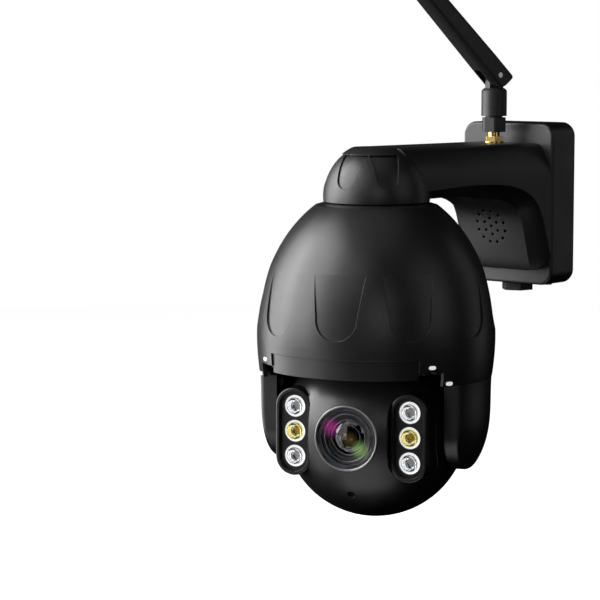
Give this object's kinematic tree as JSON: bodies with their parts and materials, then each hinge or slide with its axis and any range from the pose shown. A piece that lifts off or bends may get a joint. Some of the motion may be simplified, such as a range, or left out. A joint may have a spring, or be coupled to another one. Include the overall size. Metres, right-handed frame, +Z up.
{
  "type": "security camera",
  "caption": "Wall-mounted pan and tilt dome security camera with a zoom lens between two lamp pods, a bracket with speaker grille and a folding antenna.",
  "frame": {"origin": "centre of the wall bracket's back face, on the wall plane", "axes": "+X to the right seen from the front, +Y into the wall, +Z up; the camera hangs from the arm towards -Y"},
  "size_m": [0.12, 0.1957, 0.3351],
  "materials": {
    "bracket_plastic": "satin black fine grain",
    "housing_plastic": "satin black fine grain",
    "ball_plastic": "satin black fine grain",
    "pod_plastic": "satin black fine grain",
    "gland_plastic": "matte black",
    "antenna_plastic": "matte black",
    "inner_plastic": "matte",
    "gear_plastic": "smooth natural",
    "sensor_black": "gloss",
    "hood_black": "semi-gloss",
    "reflector_white": "gloss white",
    "chips": "matte",
    "circuit_board": "solder mask",
    "foam": "closed-cell foam",
    "rubber": "matte",
    "steel": "zinc plated",
    "screw_steel": "bright",
    "motor": "plated can",
    "speaker": "matte",
    "gold": "gold plated",
    "brass": "turned",
    "trim_chrome": "satin chrome",
    "window_glass": "coated glass",
    "lens_glass": "coated glass",
    "lamp_clear": "clear",
    "lamp_warm": "warm tinted"
  },
  "bodies": {
    "bracket": {"wall_bracket": "bracket_plastic", "wall_plate": "steel", "wall_gasket": "foam", "wall_lock_screws": "screw_steel", "cable_gland": "gland_plastic", "cable_gland_nut": "gland_plastic", "cable_grommet": "rubber", "speaker": "speaker", "antenna_jack": "gold", "antenna_jack_nut": "gold", "antenna_collar": "antenna_plastic", "pan_hub": "inner_plastic", "pan_hub_screws": "screw_steel", "pan_gear": "gear_plastic", "pan_retaining_nut": "brass"},
    "antenna_base": {"antenna_barrel": "antenna_plastic", "antenna_pin": "screw_steel"},
    "antenna_arm": {"antenna_blade": "antenna_plastic"},
    "pan_body": {"dome_shell": "housing_plastic", "notch_screws": "screw_steel", "skirt_studs": "reflector_white", "dome_base_ring": "inner_plastic", "ear_cover_left": "housing_plastic", "ear_cover_right": "housing_plastic", "ear_screws": "screw_steel", "yoke_plate": "steel", "yoke_arm_left": "steel", "yoke_arm_right": "steel", "pan_bearings": "steel", "tilt_bearings": "steel", "pan_motor": "motor", "tilt_motor": "motor", "idler_pin": "screw_steel", "main_board": "circuit_board", "board_chips": "chips", "board_posts": "brass"},
    "pan_drive_pinion": {"pan_pinion": "gear_plastic"},
    "tilt_drive_pinion": {"tilt_pinion": "gear_plastic"},
    "tilt_idler_wheel": {"tilt_idler": "gear_plastic"},
    "tilt_ball": {"ball_front_shell": "ball_plastic", "ball_rear_shell": "ball_plastic", "ball_seal": "rubber", "light_sensor": "sensor_black", "ball_screws": "screw_steel", "led_reflectors": "reflector_white", "ir_lamp_lenses": "lamp_clear", "warm_lamp_lenses": "lamp_warm", "lamp_boards": "circuit_board", "lamp_pod_left": "pod_plastic", "lamp_pod_right": "pod_plastic", "lens_trim_ring": "trim_chrome", "lens_window": "window_glass", "lens_hood": "hood_black", "front_lens": "lens_glass", "zoom_barrel": "inner_plastic", "camera_module": "inner_plastic", "sensor_board": "circuit_board", "tilt_shafts": "steel", "tilt_gear": "gear_plastic"},
    "zoom_group": {"zoom_lens_group": "inner_plastic"}
  },
  "joints": [
    {"name": "pan", "type": "hinge", "parent": "bracket", "child": "pan_body", "pos_m": [0, -0.1357, -0.04], "axis": [0, 0, 1], "range_deg": [-196, 159]},
    {"name": "pan_pinion_spin", "type": "hinge", "parent": "pan_body", "child": "pan_drive_pinion", "pos_m": [-0.02048, -0.14255, -0.032], "axis": [0, 0, 1], "range_deg": [-562, 456.29]},
    {"name": "tilt", "type": "hinge", "parent": "pan_body", "child": "tilt_ball", "pos_m": [0, -0.1357, -0.1058], "axis": [0.9483, 0.3173, 0], "range_deg": [0, 90]},
    {"name": "tilt_idler_spin", "type": "hinge", "parent": "pan_body", "child": "tilt_idler_wheel", "pos_m": [0.04552, -0.12047, -0.079], "axis": [0.9483, 0.3173, 0], "range_deg": [-59.07, 2]},
    {"name": "tilt_pinion_spin", "type": "hinge", "parent": "pan_body", "child": "tilt_drive_pinion", "pos_m": [0.04552, -0.12047, -0.057], "axis": [0.9483, 0.3173, 0], "range_deg": [-2, 169.14]},
    {"name": "zoom", "type": "slide", "parent": "tilt_ball", "child": "zoom_group", "axis": [0.3173, -0.9483, 0], "range_m": [-0.004, 0.008]},
    {"name": "antenna_swivel", "type": "hinge", "parent": "bracket", "child": "antenna_base", "pos_m": [0, -0.0345, 0.05], "axis": [0, 0, 1], "continuous": true},
    {"name": "antenna_fold", "type": "hinge", "parent": "antenna_base", "child": "antenna_arm", "pos_m": [0, -0.0345, 0.0686], "axis": [0.9336, -0.3584, 0], "range_deg": [-45, 45]}
  ],
  "couplings": [
    {"joint": "pan_pinion_spin", "follows": "pan", "ratio": 2.8571},
    {"joint": "tilt_idler_spin", "follows": "tilt", "ratio": -0.63415},
    {"joint": "tilt_pinion_spin", "follows": "tilt", "ratio": 1.8571}
  ]
}
